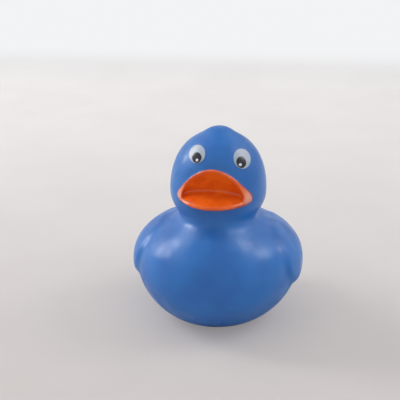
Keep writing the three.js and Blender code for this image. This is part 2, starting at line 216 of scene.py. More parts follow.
class StudioSizes(bpy.types.PropertyGroup):
    camera_azimuth: angle("Camera azimuth", "How far the camera stands to the duck's left", 8)
    camera_elevation: angle("Camera elevation", "Height of the camera above the horizon", 19)
    camera_roll: angle("Camera roll", "Tilt of the camera about its view", 1)
    camera_distance: length("Camera distance", "From the camera to its aim", 450)
    aim_height: length("Aim height", "Height of the camera's aim above the floor", 40.2)
    lens: FloatProperty(name="Lens", description="Focal length in millimetres", default=90.63)
    camera_right: length("Camera right", "How far the camera is moved to its right of its aim", -8.49)
    camera_up: length("Camera up", "How far the camera is moved up from its aim", 11.17)
    wall_distance: length("Wall distance", "From the duck back to the wall", 484)
    wall_curve: length("Wall curve", "Radius of the curve between floor and wall", 30)
    wall_height: length("Wall height", "Height of the wall", 2500)
    floor_reach: length("Floor reach", "Half the width of the floor", 3000)
    sky: number("Sky strength", "Strength of the even light from all round", 0.74)
    lamp: FloatProperty(name="Lamp power", description="Power of each soft lamp", default=11.2, unit="POWER")
    lamp_bias: number("Lamp bias", "How much stronger the lamp on the duck's right is", 0.5)
    lamp_aside: length("Lamp aside", "How far each lamp stands to its side", 1000)
    lamp_behind: length("Lamp behind", "How far the lamp on the duck's left stands behind it", 350)
    lamp_height: length("Lamp height", "Height of the lamp on the duck's left", 1000)
    low_lamp_behind: length("Low lamp behind", "How far the lamp on the duck's right stands behind it", 380)
    low_lamp_height: length("Low lamp height", "Height of the lamp on the duck's right", 650)
    lamp_width: length("Lamp width", "Width of the lamps", 800)


class DuckSettings(bpy.types.PropertyGroup):
    body: PointerProperty(name="Body", description="Sizes of body, neck and head", type=BodySizes)
    limbs: PointerProperty(name="Wings and tail", description="Sizes of wings and tail", type=WingTailSizes)
    beak: PointerProperty(name="Beak", description="Sizes of the beak", type=BeakSizes)
    prints: PointerProperty(name="Eyes", description="Sizes of the printed eyes", type=PrintSizes)
    squeaker: PointerProperty(name="Squeaker", description="Sizes of the squeaker", type=SqueakerSizes)
    finish: PointerProperty(name="Finishes", description="Colours", type=Finishes)
    studio: PointerProperty(name="Studio", description="Camera, floor and light", type=StudioSizes)


# The two eyes: places across the pad and up it, then half the white's width and height
EYES = {
    "right": (-7.6 * MM, 67.8 * MM, 3.6 * MM, 4 * MM),
    "left": (11.1 * MM, 67 * MM, 3.3 * MM, 4.3 * MM),
}


# Working on meshes

def deselect_all():
    if bpy.context.mode != "OBJECT":
        bpy.ops.object.mode_set(mode="OBJECT")
    bpy.ops.object.select_all(action="DESELECT")


def pick(*pieces):
    """Selects these pieces alone. The last one is active."""
    deselect_all()
    for piece in pieces:
        piece.select_set(True)
    bpy.context.view_layer.objects.active = pieces[-1]


def named(name):
    """Names the piece that was just made"""
    piece = bpy.context.active_object
    piece.name = name
    piece.data.name = name
    return piece


def start_editing(piece):
    pick(piece)
    bpy.ops.object.mode_set(mode="EDIT")
    bpy.ops.mesh.select_mode(type="VERT")


def select_where(piece, test):
    """In edit mode, selects the vertices whose place passes the test"""
    mesh = bmesh.from_edit_mesh(piece.data)
    for vertex in mesh.verts:
        vertex.select_set(test(vertex.co))
    mesh.select_flush_mode()
    bmesh.update_edit_mesh(piece.data)


def recalculate(piece):
    """Merges what lies on one place and turns all faces outwards"""
    start_editing(piece)
    bpy.ops.mesh.select_all(action="SELECT")
    bpy.ops.mesh.remove_doubles(threshold=0.001 * MM)
    bpy.ops.mesh.normals_make_consistent(inside=False)
    deselect_all()


def apply_modifier(piece, kind, **settings):
    """Adds a modifier with its settings and applies it"""
    pick(piece)
    modifier = piece.modifiers.new(kind.title(), kind)
    for key, value in settings.items():
        setattr(modifier, key, value)
    bpy.ops.object.modifier_apply(modifier=modifier.name)


def rounded(piece):
    apply_modifier(piece, "SUBSURF", levels=SMOOTH_LEVELS, render_levels=SMOOTH_LEVELS)


def combine(piece, other, operation):
    """Joins the other piece to this one, or cuts it away, and uses it up"""
    apply_modifier(piece, "BOOLEAN", object=other, operation=operation, solver="MANIFOLD")
    pick(other)
    bpy.ops.object.delete()
    if not piece.data.polygons:
        raise RuntimeError(f"{piece.name} was lost in {operation.lower()}")


def soften_where(piece, times, test):
    """Evens out the part of a skin that passes the test"""
    start_editing(piece)
    select_where(piece, test)
    bpy.ops.object.vertex_group_assign_new()
    deselect_all()
    group = piece.vertex_groups[-1].name
    apply_modifier(piece, "SMOOTH", factor=0.5, iterations=times, vertex_group=group)


def copy_of(piece, name):
    pick(piece)
    bpy.ops.object.duplicate()
    return named(name)


# The skin of body, neck and head

Ring = namedtuple("Ring", "side front back middle height")


def egg_reach(height, centre, rise, drop, reach, fullness=2):
    """How far an egg reaches from its axis at a height. A fullness over 2 squares its upper half."""
    upper = height > centre
    share = (height - centre) / rise if upper else (centre - height) / drop
    power = fullness if upper else 2
    return 0 if share >= 1 else reach * (1 - share ** power) ** (1 / power)


def filleted(a, b, fillet):
    """The larger of two reaches, with a fillet where they are nearly alike"""
    size = min(fillet, 2 * min(a, b))
    if size <= 0:
        return max(a, b)
    near = max(size - abs(a - b), 0) / size
    return max(a, b) + near * near * size / 4


def eased(value, low, high):
    """A share that eases from 0 at the low value to 1 at the high one"""
    share = min(max((value - low) / (high - low), 0), 1)
    return share * share * (3 - 2 * share)


def ring_at(body, height):
    """One level ring of the skin: its reaches to side, front and back, and where its middle lies"""
    edge = max(body.base_edge - height, 0)
    tuck_in = body.base_edge - math.sqrt(body.base_edge ** 2 - edge ** 2)
    flared = 1 - eased(height, body.neck_height, body.neck_height + body.flare_rise)

    def reach(rise, belly, fullness, neck, flare, head, head_fullness, fillet):
        low = egg_reach(height, body.belly_height, rise, body.belly_drop, belly, fullness)
        neck_egg = egg_reach(height, body.neck_height, body.neck_span, body.neck_span, neck + flare * flared)
        high = egg_reach(height, body.head_height, body.head_rise, body.head_drop, head, head_fullness)
        return filleted(filleted(low, neck_egg, fillet), high, fillet) - tuck_in

    return Ring(
        side=reach(body.belly_rise, body.belly_half_width, body.flank_fullness,
                   body.neck_half_width, body.side_flare, body.head_half_width, body.head_fullness,
                   SIDE_FILLET),
        front=reach(body.breast_rise, body.breast_reach, 2,
                    body.neck_reach, body.throat_flare, body.face_reach, body.face_fullness,
                    THROAT_FILLET),
        back=reach(body.belly_rise, body.rump_reach, body.rump_fullness,
                   body.neck_reach, body.nape_flare, body.nape_reach, body.head_fullness, NAPE_FILLET),
        middle=AXIS_Y - body.head_forward * eased(height, body.belly_height, body.head_height),
        height=height,
    )


def face_y(body, x, height):
    """Where the front of the skin lies at a place across and a height"""
    ring = ring_at(body, height)
    return ring.middle - ring.front * math.sqrt(max(1 - (x / ring.side) ** 2, 0))


def reshape_ring(skin, old, new):
    """Turns the selected ring from one shape into the next, its front and back halves apart"""
    centre = (0, new.middle, new.height)
    bpy.ops.transform.resize(value=(new.side / old.side, 1, 1), center_override=centre)
    level = new.height - 0.01 * MM
    select_where(skin, lambda place: place.z > level and place.y < new.middle)
    bpy.ops.transform.resize(value=(1, new.front / old.front, 1), center_override=centre)
    select_where(skin, lambda place: place.z > level and place.y > new.middle)
    bpy.ops.transform.resize(value=(1, new.back / old.back, 1), center_override=centre)
    select_where(skin, lambda place: place.z > level)


def model_skin(body):
    """The skin is drawn up ring by ring from the flat base to the crown"""
    crown = body.head_height + body.head_rise
    base = ring_at(body, 0)
    deselect_all()
    bpy.ops.mesh.primitive_circle_add(
        vertices=SKIN_SEGMENTS, radius=base.side, fill_type="NGON", location=(0, base.middle, 0)
    )
    skin = named("skin")
    bpy.ops.object.transform_apply()
    start_editing(skin)
    bpy.ops.mesh.select_all(action="SELECT")
    last = base._replace(front=base.side, back=base.side)
    reshape_ring(skin, last, base)
    last = base
    for i in range(1, SKIN_RINGS):
        height = crown * (1 - math.cos(math.pi * i / SKIN_RINGS)) / 2
        ring = ring_at(body, height)
        step = (0, ring.middle - last.middle, height - last.height)
        bpy.ops.mesh.extrude_region_move(TRANSFORM_OT_translate={"value": step})
        reshape_ring(skin, last, ring)
        last = ring
    step = (0, 0, crown - last.height)
    bpy.ops.mesh.extrude_region_move(TRANSFORM_OT_translate={"value": step})
    bpy.ops.mesh.merge(type="CENTER")
    # A round patch on the crown is raised as the tuft and draws a soft foot up round it
    patch_radius, patch_depth = 3 * MM, 1.5 * MM
    select_where(skin, lambda place: place.z > crown - patch_depth
                 and math.hypot(place.x, place.y - last.middle) < patch_radius)
    bpy.ops.transform.translate(
        value=(0, 0, body.tuft_height), use_proportional_edit=True,
        proportional_edit_falloff="SMOOTH", proportional_size=body.tuft_radius,
    )
    recalculate(skin)
    rounded(skin)
    return skin


# The beak

def quadratic(start, control, end, steps=6):
    """Points on a curve from start to end that bends towards control, without the start itself"""
    points = []
    for i in range(1, steps + 1):
        t = i / steps
        points.append([
            (1 - t) ** 2 * start[k] + 2 * t * (1 - t) * control[k] + t * t * end[k] for k in (0, 1)
        ])
    return points


def beak_outline(beak):
    """Side outline of the closed beak in its middle, as reaches and rises from the corners: out under
    the lower bill, round its lip, up to the upper bill's rim and back into the head. The plain
    numbers are shares of a bill's reach and rise."""
    back = -3 * MM
    sag = 0.4 * MM
    under = beak.lip_rise - beak.lower_thickness
    lip, lip_top = beak.lower_reach, beak.lip_rise
    rim, rim_top, edge = beak.upper_reach, beak.upper_rise, beak.upper_thickness
    foot = [lip * 0.87, under]
    lip_end = [lip * 0.98, lip_top]
    rim_end = [rim, rim_top - edge]
    rim_back = [rim - edge, rim_top]
    points = [[back, under]]
    points += quadratic(points[-1], [lip * 0.6, under - sag], foot)
    points += quadratic(foot, [lip * 1.04, (lip_top + under) / 2], lip_end)
    points += [rim_end]
    points += quadratic(rim_end, [rim * 1.02, rim_top], rim_back)
    points += quadratic(rim_back, [rim * 0.5, rim_top * 0.84], [back, rim_top * 0.72])
    return points


def mouth_outline(beak):
    """Side outline of the open mouth in its middle: a dipped floor, and a hollow palate above. It runs
    on past lip and rim, so that the cut is open in front."""
    floor_dip = 0.3 * MM
    palate_hollow = 1.8 * MM
    crease = [beak.crease_reach, beak.crease_rise]
    lip = [beak.lower_reach * 1.02, beak.lip_rise]
    rim_level = beak.upper_rise - beak.upper_thickness * 0.5
    rim = [beak.upper_reach, rim_level]
    before_lip = [beak.lower_reach * 1.3, beak.lip_rise + 2 * MM]
    before_rim = [beak.upper_reach * 1.5, rim_level]
    floor_bend = [(crease[0] + lip[0]) / 2, (crease[1] + lip[1]) / 2 - floor_dip]
    palate_bend = [beak.crease_reach + palate_hollow, (beak.crease_rise + rim_level) / 2]
    points = quadratic(crease, floor_bend, lip)
    points += [before_lip, before_rim, rim]
    points += quadratic(rim, palate_bend, crease)
    return points


def model_bill(name, outline, beak, corner_y, half_width, closing):
    """Sweeps an outline from the middle out to one side, drawing it in as it goes, then mirrors it.
    closing says how far a station at a share of the half width is drawn in besides."""
    stations = 14
    # The last station stands this share out, and keeps this little of the outline
    outermost, least = 0.999, 0.0005
    # How fast reach, rise above the corners and drop below them shrink: 0.5 is an ellipse, 1 is sharper
    reach_power, rise_power, drop_power = 0.6, 0.86, 0.5
    deselect_all()
    bpy.ops.mesh.primitive_circle_add(vertices=len(outline), radius=MM, fill_type="NOTHING")
    bill = named(name)
    for vertex, (reach, rise) in zip(bill.data.vertices, outline):
        vertex.co = (0, corner_y - reach, beak.mouth_height + rise)
    start_editing(bill)
    bpy.ops.mesh.select_all(action="SELECT")
    scale = (1, 1, 1)
    last_x = 0
    level = beak.mouth_height
    for i in range(1, stations + 1):
        across = min(math.sin(math.pi / 2 * i / stations), outermost)
        x = half_width * across
        share = max(1 - (x / beak.half_width) ** 2, least)
        drawn = closing(across)
        target = (share ** reach_power, share ** rise_power * drawn, share ** drop_power * drawn)
        centre = (x, corner_y, level)
        beyond = x - 0.005 * MM
        bpy.ops.mesh.extrude_edges_move(TRANSFORM_OT_translate={"value": (x - last_x, 0, 0)})
        bpy.ops.transform.resize(value=(1, target[0] / scale[0], 1), center_override=centre)
        select_where(bill, lambda place: place.x > beyond and place.z > level)
        bpy.ops.transform.resize(value=(1, 1, target[1] / scale[1]), center_override=centre)
        select_where(bill, lambda place: place.x > beyond and place.z <= level)
        bpy.ops.transform.resize(value=(1, 1, target[2] / scale[2]), center_override=centre)
        select_where(bill, lambda place: place.x > beyond)
        scale, last_x = target, x
    bpy.ops.mesh.edge_face_add()
    apply_modifier(bill, "MIRROR", use_clip=True, merge_threshold=0.01 * MM)
    recalculate(bill)
    return bill


# Wings and tail

def turn_about_x(turn, centre):
    """Turns the selection from +Y towards +Z. Without a window the operator turns the other way."""
    bpy.ops.transform.rotate(value=turn, orient_axis="X", center_override=centre)


def wing_outline(limbs):
    """A sheet in the wing's outline in side view, clear of the left flank: blunt in front, long behind"""
    clear_x = 60 * MM
    tip_patch, tip_pull, soft_reach = 0.2 * MM, 2 * MM, 24 * MM
    half_height = limbs.wing_half_height
    centre = (clear_x, AXIS_Y + limbs.wing_y, limbs.wing_height)
    deselect_all()
    bpy.ops.mesh.primitive_circle_add(
        vertices=64, radius=half_height, fill_type="NOTHING", location=centre, rotation=(0, math.pi / 2, 0)
    )
    outline = named("wing")
    bpy.ops.object.transform_apply()
    start_editing(outline)
    for reach, behind in ((limbs.wing_front_reach, False), (limbs.wing_tip_reach, True)):
        select_where(outline, lambda place: place.y > centre[1] if behind else place.y < centre[1])
        bpy.ops.transform.resize(value=(1, reach / half_height, 1), center_override=centre)
    tip = centre[1] + limbs.wing_tip_reach
    select_where(outline, lambda place: place.y > tip - tip_patch)
    bpy.ops.transform.translate(
        value=(0, tip_pull, limbs.wing_tip_rise), use_proportional_edit=True,
        proportional_edit_falloff="SHARP", proportional_size=soft_reach,
    )
    bpy.ops.mesh.select_all(action="SELECT")
    bpy.ops.mesh.fill_grid(span=16)
    bpy.ops.mesh.select_all(action="SELECT")
    bpy.ops.mesh.subdivide(number_cuts=1)
    deselect_all()
    return outline


def model_wings(limbs, skin):
    """A raised pad on each flank in the wing's outline, rooted in the skin and rounded at its rim"""
    root_depth, rim = 4 * MM, 1.6 * MM
    wings = wing_outline(limbs)
    apply_modifier(
        wings, "SHRINKWRAP", target=skin, wrap_method="PROJECT", use_project_x=True,
        use_negative_direction=True, use_positive_direction=True, offset=limbs.relief,
    )
    recalculate(wings)
    apply_modifier(wings, "SOLIDIFY", thickness=limbs.relief + root_depth, offset=-1)
    recalculate(wings)
    apply_modifier(wings, "BEVEL", width=rim, segments=4, limit_method="ANGLE",
                   angle_limit=math.radians(50))
    apply_modifier(wings, "MIRROR", use_mirror_merge=False)
    recalculate(wings)
    return wings


def tail_point(limbs, along):
    """Place on the tail's spine, and the way that it runs there, from 0 at the root to 1 at the tip"""
    root = Vector((0, limbs.tail_root_y, limbs.tail_root_height))
    bend = Vector((0, limbs.tail_bend_y, limbs.tail_bend_height))
    tip = Vector((0, limbs.tail_tip_y, limbs.tail_tip_height))
    place = root.lerp(bend, along).lerp(bend.lerp(tip, along), along)
    run = bend.lerp(tip, along) - root.lerp(bend, along)
    return place + Vector((0, AXIS_Y, 0)), math.atan2(run.z, run.y)


def model_tail(limbs):
    """A flattened ring carried up the tail's curved spine, wide at its root and narrow at its tip"""
    rings = 14
    # Both end rings stand this share of the spine in from its ends. A higher bluntness squares them.
    first = 0.004
    bluntness = 6
    deselect_all()
    place, turn = tail_point(limbs, first)
    bpy.ops.mesh.primitive_circle_add(
        vertices=24, radius=MM, fill_type="NGON", location=place, rotation=(math.pi / 2, 0, 0)
    )
    tail = named("tail")
    bpy.ops.object.transform_apply()
    start_editing(tail)
    bpy.ops.mesh.select_all(action="SELECT")
    turn_about_x(-turn, place)
    width = depth = MM
    for i in range(rings + 1):
        along = first + (1 - 2 * first) * (1 - math.cos(math.pi * i / rings)) / 2
        closing = math.sqrt(1 - (2 * along - 1) ** bluntness)
        new_width = (limbs.tail_root_half_width * (1 - along) + limbs.tail_tip_half_width * along) * closing
        new_depth = (limbs.tail_root_half_depth * (1 - along) + limbs.tail_tip_half_depth * along) * closing
        new_place, new_turn = tail_point(limbs, along)
        if i:
            bpy.ops.mesh.extrude_region_move(TRANSFORM_OT_translate={"value": new_place - place})
            turn_about_x(turn - new_turn, new_place)
        across = Matrix.Rotation(new_turn, 3, "X")
        bpy.ops.transform.resize(
            value=(new_width / width, 1, new_depth / depth), center_override=new_place,
            orient_type="GLOBAL", orient_matrix=across, orient_matrix_type="GLOBAL",
        )
        place, turn, width, depth = new_place, new_turn, new_width, new_depth
    recalculate(tail)
    rounded(tail)
    return tail


# Finishes

def add_node(tree, kind, links=None, **settings):
    """Adds a node with its settings, and its inputs as values or as links from other nodes' sockets"""
    node = tree.nodes.new(kind)
    for key, value in settings.items():
        setattr(node, key, value)
    for socket, value in (links or {}).items():
        if isinstance(value, bpy.types.NodeSocket):
            tree.links.new(value, node.inputs[socket])
        else:
            node.inputs[socket].default_value = value
    return node


def new_material(name):
    material = bpy.data.materials.new(name)
    material.use_nodes = True
    material.node_tree.nodes.clear()
    return material, material.node_tree


def finish_shader(tree, shader, kind="Material"):
    output = add_node(tree, f"ShaderNodeOutput{kind}")
    tree.links.new(shader.outputs[0], output.inputs["Surface"])


def opaque(rgb):
    return (*rgb, 1)


def shade_of(rgb, share):
    return opaque(part * share for part in rgb)


def noise(tree, size_mm, detail=2):
    """A noise whose blotches are about this many millimetres across"""
    place = add_node(tree, "ShaderNodeTexCoord")
    return add_node(
        tree, "ShaderNodeTexNoise",
        {"Vector": place.outputs["Object"], "Scale": 1 / (size_mm * MM), "Detail": detail},
    ).outputs["Fac"]


def mix_colours(tree, share, first, second):
    mix = add_node(tree, "ShaderNodeMix", data_type="RGBA")
    for socket, value in ((mix.inputs["Factor"], share), (mix.inputs[6], first), (mix.inputs[7], second)):
        if isinstance(value, bpy.types.NodeSocket):
            tree.links.new(value, socket)
        else:
            socket.default_value = value
    return mix.outputs[2]


def remap(tree, value, low, high, to_low=0.0, to_high=1.0):
    """Eases a value over from one range into another"""
    return add_node(
        tree, "ShaderNodeMapRange",
        {"Value": value, "From Min": low, "From Max": high, "To Min": to_low, "To Max": to_high},
        interpolation_type="SMOOTHSTEP",
    ).outputs["Result"]


def bump(tree, height, depth_mm, below=None):
    """A surface that rises and falls by this many millimetres, laid over the one below"""
    links = {"Height": height, "Strength": 1, "Distance": depth_mm * MM}
    if below:
        links["Normal"] = below
    return add_node(tree, "ShaderNodeBump", links).outputs["Normal"]


def painted_vinyl(finish):
    """Soft PVC, rotation-moulded, its beak sprayed with flexible vinyl paint. Plasticised PVC has a
    broad satin gloss, lets a little light in and is never quite even. The paint is glossier, and the
    spray thins out over the vinyl round the beak."""
    material, tree = new_material("painted_vinyl")
    # Pigment clouds about 14 mm across, and paint that lies thicker in places of about 5 mm
    cloud = remap(tree, noise(tree, 14), 0.35, 0.65)
    vinyl = mix_colours(tree, cloud, opaque(finish.vinyl), opaque(finish.vinyl_deep))
    thick = remap(tree, noise(tree, 5), 0.35, 0.65)
    paint = mix_colours(tree, thick, opaque(finish.beak), opaque(finish.beak_deep))
    # The beak's corners are painted lighter and pinker over their last millimetres: partly the spray running
    # thin there, partly a painted highlight where their rounded gloss catches the light
    place = add_node(tree, "ShaderNodeTexCoord").outputs["Object"]
    across = add_node(tree, "ShaderNodeSeparateXYZ", {"Vector": place}).outputs["X"]
    aside = add_node(tree, "ShaderNodeMath", {0: across}, operation="ABSOLUTE").outputs[0]
    thin_and_sheen = remap(tree, aside, 12 * MM, 15.5 * MM, 0, 0.75)
    paint = mix_colours(tree, thin_and_sheen, paint, opaque(finish.beak_thin_and_sheen))
    # Spray droplets are finer than the render shows, and are drawn 0.7 mm across to break up the edge
    coat = add_node(tree, "ShaderNodeAttribute", attribute_name="coat").outputs["Fac"]
    speckle = remap(tree, noise(tree, 0.7, 4), 0.3, 0.7, -0.12, 0.12)
    sprayed = add_node(tree, "ShaderNodeMath", {0: coat, 1: speckle}, operation="ADD").outputs[0]
    hazed = mix_colours(tree, remap(tree, sprayed, 0.05, 0.55), vinyl, opaque(finish.overspray))
    colours = mix_colours(tree, remap(tree, sprayed, 0.55, 0.9), hazed, paint)
    # The mould's grain is drawn 0.5 mm wide so that it shows, over ripples of about 9 mm
    grain = bump(tree, noise(tree, 0.5, 3), 0.006)
    ripple = bump(tree, noise(tree, 9, 1), 0.12, grain)
    # Handling has left smears of about 8 mm, and the paint is evenly glossy
    smeared = remap(tree, noise(tree, 8, 3), 0.4, 0.62, 0.46, 0.3)
    painted = remap(tree, sprayed, 0.3, 0.8)
    gloss = add_node(
        tree, "ShaderNodeMix", {"Factor": painted, 2: smeared, 3: 0.22}, data_type="FLOAT"
    ).outputs[0]
    shader = add_node(tree, "ShaderNodeBsdfPrincipled", {
        "Base Color": colours,
        "Roughness": gloss,
        "IOR": 1.53,
        "Subsurface Weight": 0.08,
        "Subsurface Scale": 1.5 * MM,
        "Normal": ripple,
    })
    finish_shader(tree, shader)
    return material


def printing_ink(name, rgb, roughness):
    """Pad-printing ink: a thin even film that flows out smooth over the vinyl, a little glossier. It
    lies unevenly in patches of about 1.2 mm, and its surface in ripples of 0.8 mm."""
    material, tree = new_material(name)
    patches = remap(tree, noise(tree, 1.2, 3), 0.35, 0.65)
    colours = mix_colours(tree, patches, opaque(rgb), shade_of(rgb, 0.93))
    shader = add_node(tree, "ShaderNodeBsdfPrincipled", {
        "Base Color": colours,
        "Roughness": roughness,
        "IOR": 1.5,
        "Normal": bump(tree, noise(tree, 0.8, 2), 0.004),
    })
    finish_shader(tree, shader)
    return material


def moulded_plastic(name, rgb):
    """Polypropylene, injection-moulded, or a stiff plastic film: slightly waxy, with a fine matt skin.
    Its flow marks are about 4 mm wide, and its grain is drawn at 0.3 mm to show at all."""
    material, tree = new_material(name)
    flow = remap(tree, noise(tree, 4), 0.35, 0.65)
    colours = mix_colours(tree, flow, opaque(rgb), shade_of(rgb, 0.94))
    shader = add_node(tree, "ShaderNodeBsdfPrincipled", {
        "Base Color": colours,
        "Roughness": remap(tree, noise(tree, 2), 0.3, 0.7, 0.38, 0.48),
        "IOR": 1.49,
        "Normal": bump(tree, noise(tree, 0.3, 3), 0.004),
    })
    finish_shader(tree, shader)
    return material


def painted_board(finish, wall_distance):
    """Smooth white-painted board: nearly matt and faintly cloudy, with painted light that makes it lighter
    towards the wall, as if more light fell there from behind. The camera alone sees the wall at its full
    paleness, and a share of that on the floor, so its shadows stay light."""
    material, tree = new_material("painted_board")
    place = add_node(tree, "ShaderNodeTexCoord").outputs["Object"]
    parts = add_node(tree, "ShaderNodeSeparateXYZ", {"Vector": place}).outputs
    # Painted light: the floor's colour grows lighter from the duck towards the wall
    light_falloff = remap(tree, parts["Y"], -0.5 * wall_distance, wall_distance)
    floor_with_painted_light = mix_colours(tree, light_falloff, opaque(finish.floor), opaque(finish.floor_far_lit))
    cloud = remap(tree, noise(tree, 60), 0.35, 0.65, 0, 0.04)
    clouded = mix_colours(tree, cloud, floor_with_painted_light, (0, 0, 0, 1))
    board = add_node(
        tree, "ShaderNodeBsdfPrincipled", {"Base Color": clouded, "Roughness": 0.6, "IOR": 1.45}
    )
    upright = remap(tree, parts["Z"], 1 * MM, 30 * MM)
    shown = mix_colours(tree, upright, floor_with_painted_light, opaque(finish.wall))
    lit = add_node(tree, "ShaderNodeEmission", {"Color": shown, "Strength": 1})
    seen = add_node(tree, "ShaderNodeLightPath").outputs["Is Camera Ray"]
    glow = remap(tree, upright, 0, 1, 0.35, 1)
    share = add_node(tree, "ShaderNodeMath", {0: seen, 1: glow}, operation="MULTIPLY").outputs[0]
    mix = add_node(tree, "ShaderNodeMixShader", {0: share, 1: board.outputs[0], 2: lit.outputs[0]})
    finish_shader(tree, mix)
    return material


def give_material(piece, material):
    piece.data.materials.clear()
    piece.data.materials.append(material)


def paint_beak(duck, guide, mouth_height):
    """Writes the share of beak paint at each vertex: full on the beak, fading into a haze round it. The
    haze is narrow above, wider below the beak, and widest there on the duck's left."""
    tree = BVHTree.FromObject(guide, bpy.context.evaluated_depsgraph_get())
    forward = Vector((0, -1, 0))
    farthest = 3 * MM
    full_edge = 0.25 * MM
    haze_above, haze_below, haze_left = 0.4 * MM, 0.5 * MM, 1.1 * MM
    low_from, low_to = mouth_height + 2 * MM, mouth_height + 8 * MM
    left_at = 13 * MM
    coat = []
    for vertex in duck.data.vertices:
        place = vertex.co
        ahead = tree.ray_cast(place, forward)[1]
        if ahead and ahead.dot(forward) > 0:
            coat.append(1)
            continue
        outside = tree.find_nearest(place, farthest)[3]
        if outside is None:
            coat.append(0)
            continue
        low = 1 - eased(place.z, low_from, low_to)
        haze = haze_above + low * (haze_below + haze_left * eased(place.x, 0, left_at))
        coat.append(1 - eased(outside, full_edge, full_edge + haze))
    duck.data.attributes.new("coat", "FLOAT", "POINT").data.foreach_set("value", coat)


# The operators

class DUCK_OT_moulding(bpy.types.Operator):
    """Models the vinyl moulding: skin, wings, tail and beak in one piece, with the squeaker's seat"""
    bl_idname = "duck.moulding"
    bl_label = "Moulding"

    def execute(self, context):
        settings = context.scene.duck
        body, limbs, beak = settings.body, settings.limbs, settings.beak
        corner_y = face_y(body, beak.half_width, beak.mouth_height)
        duck = model_skin(body)
        combine(duck, model_wings(limbs, duck), "UNION")
        combine(duck, model_tail(limbs), "UNION")
        apply_modifier(duck, "REMESH", mode="VOXEL", voxel_size=COARSE_VOXEL)
        self.soften_flanks(duck)
        closed = model_bill("closed_beak", beak_outline(beak), beak, corner_y, beak.half_width,
                            lambda across: 1)
        guide = copy_of(closed, "beak_guide")
        mouth = model_bill("mouth", mouth_outline(beak), beak, corner_y, beak.mouth_half_width,
                           lambda across: math.sqrt(1 - across ** beak.mouth_fullness))
        combine(duck, closed, "UNION")
        combine(duck, mouth, "DIFFERENCE")
        apply_modifier(duck, "REMESH", mode="VOXEL", voxel_size=VOXEL)
        self.soften_skin(duck, beak, corner_y)
        self.cut_seat(duck, settings.squeaker)
        paint_beak(duck, guide, beak.mouth_height)
        pick(guide)
        bpy.ops.object.delete()
        duck.name = duck.data.name = "duck_moulding"
        pick(duck)
        bpy.ops.object.shade_smooth_by_angle(angle=math.radians(45))
        give_material(duck, painted_vinyl(settings.finish))
        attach(duck, "root")
        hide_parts("duck_body")
        return {"FINISHED"}

    def soften_flanks(self, duck):
        """Soft vinyl leaves the mould with no sharp line round its wings and tail"""
        flank_x, rump_y = 17 * MM, 18 * MM
        low, high = 6 * MM, 50 * MM
        soften_where(duck, FLANK_SOFTENING, lambda place: low < place.z < high
                     and (abs(place.x) > flank_x or place.y > rump_y))

    def soften_skin(self, duck, beak, corner_y):
        """Evens the remeshed skin out, but keeps the mouth's inner crease"""
        crease_y, crease_end = corner_y - 1 * MM, 11 * MM
        low, high = beak.mouth_height + 1.5 * MM, beak.mouth_height + 6 * MM
        soften_where(duck, SOFTENING, lambda place: place.y > crease_y or not low < place.z < high
                     or abs(place.x) > crease_end)

    def cut_seat(self, duck, sizes):
        """Cuts the stepped seat of the squeaker into the base"""
        depths = (sizes.recess + sizes.flange_thickness + sizes.fit,
                  sizes.recess + sizes.barrel_length + sizes.fit)
        for radius, depth in zip((sizes.flange_radius, sizes.barrel_radius), depths):
            deselect_all()
            bpy.ops.mesh.primitive_cylinder_add(
                vertices=96, radius=radius + sizes.fit, depth=2 * depth, location=(0, AXIS_Y, 0)
            )
            seat = named("seat")
            bpy.ops.object.transform_apply()
            combine(duck, seat, "DIFFERENCE")


class DUCK_OT_squeaker(bpy.types.Operator):
    """Models the squeaker in the base: a flanged case with a sound hole, and the reed in its bore"""
    bl_idname = "duck.squeaker"
    bl_label = "Squeaker"

    def execute(self, context):
        settings = context.scene.duck
        finish, sizes = settings.finish, settings.squeaker
        flange_top = sizes.recess + sizes.flange_thickness
        end = sizes.recess + sizes.barrel_length
        bead = sizes.bead
        case = self.turn_up("squeaker_shell", (
            (sizes.hole_radius, sizes.recess), (sizes.flange_radius, sizes.recess),
            (sizes.flange_radius, flange_top), (sizes.barrel_radius, flange_top),
            (sizes.barrel_radius, sizes.bead_height),
            (sizes.barrel_radius + bead, sizes.bead_height + bead),
            (sizes.barrel_radius, sizes.bead_height + 2 * bead),
            (sizes.barrel_radius, end), (sizes.bore_radius, end),
            (sizes.bore_radius, flange_top), (sizes.hole_radius, flange_top),
        ))
        give_material(case, moulded_plastic("moulded_polypropylene", finish.squeaker))
        foot = sizes.recess + sizes.reed_seat
        top = foot + sizes.reed_thickness
        reed_hole = sizes.hole_radius / 2
        reed = self.turn_up("squeaker_disc", (
            (reed_hole, foot), (sizes.reed_radius, foot), (sizes.reed_radius, top), (reed_hole, top),
        ))
        give_material(reed, moulded_plastic("polyester_film", finish.reed))
        for piece, node, slot in ((case, "squeaker_case", "squeaker_plastic"),
                                  (reed, "squeaker_reed", "reed_film")):
            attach(piece, "root")
            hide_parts(node)
        return {"FINISHED"}

    def turn_up(self, name, profile):
        """Draws a ring through a closed list of radius and height pairs, and rounds its edges"""
        edge = 0.15 * MM
        radius, level = profile[0]
        deselect_all()
        bpy.ops.mesh.primitive_circle_add(
            vertices=64, radius=radius, fill_type="NOTHING", location=(0, AXIS_Y, level)
        )
        piece = named(name)
        bpy.ops.object.transform_apply()
        start_editing(piece)
        bpy.ops.mesh.select_all(action="SELECT")
        for new_radius, new_level in (*profile[1:], profile[0]):
            bpy.ops.mesh.extrude_edges_move(TRANSFORM_OT_translate={"value": (0, 0, new_level - level)})
            share = new_radius / radius
            bpy.ops.transform.resize(value=(share, share, 1), center_override=(0, AXIS_Y, new_level))
            radius, level = new_radius, new_level
        recalculate(piece)
        apply_modifier(piece, "BEVEL", width=edge, segments=3, limit_method="ANGLE",
                       angle_limit=math.radians(30))
        pick(piece)
        bpy.ops.object.shade_smooth_by_angle(angle=math.radians(40))
        return piece


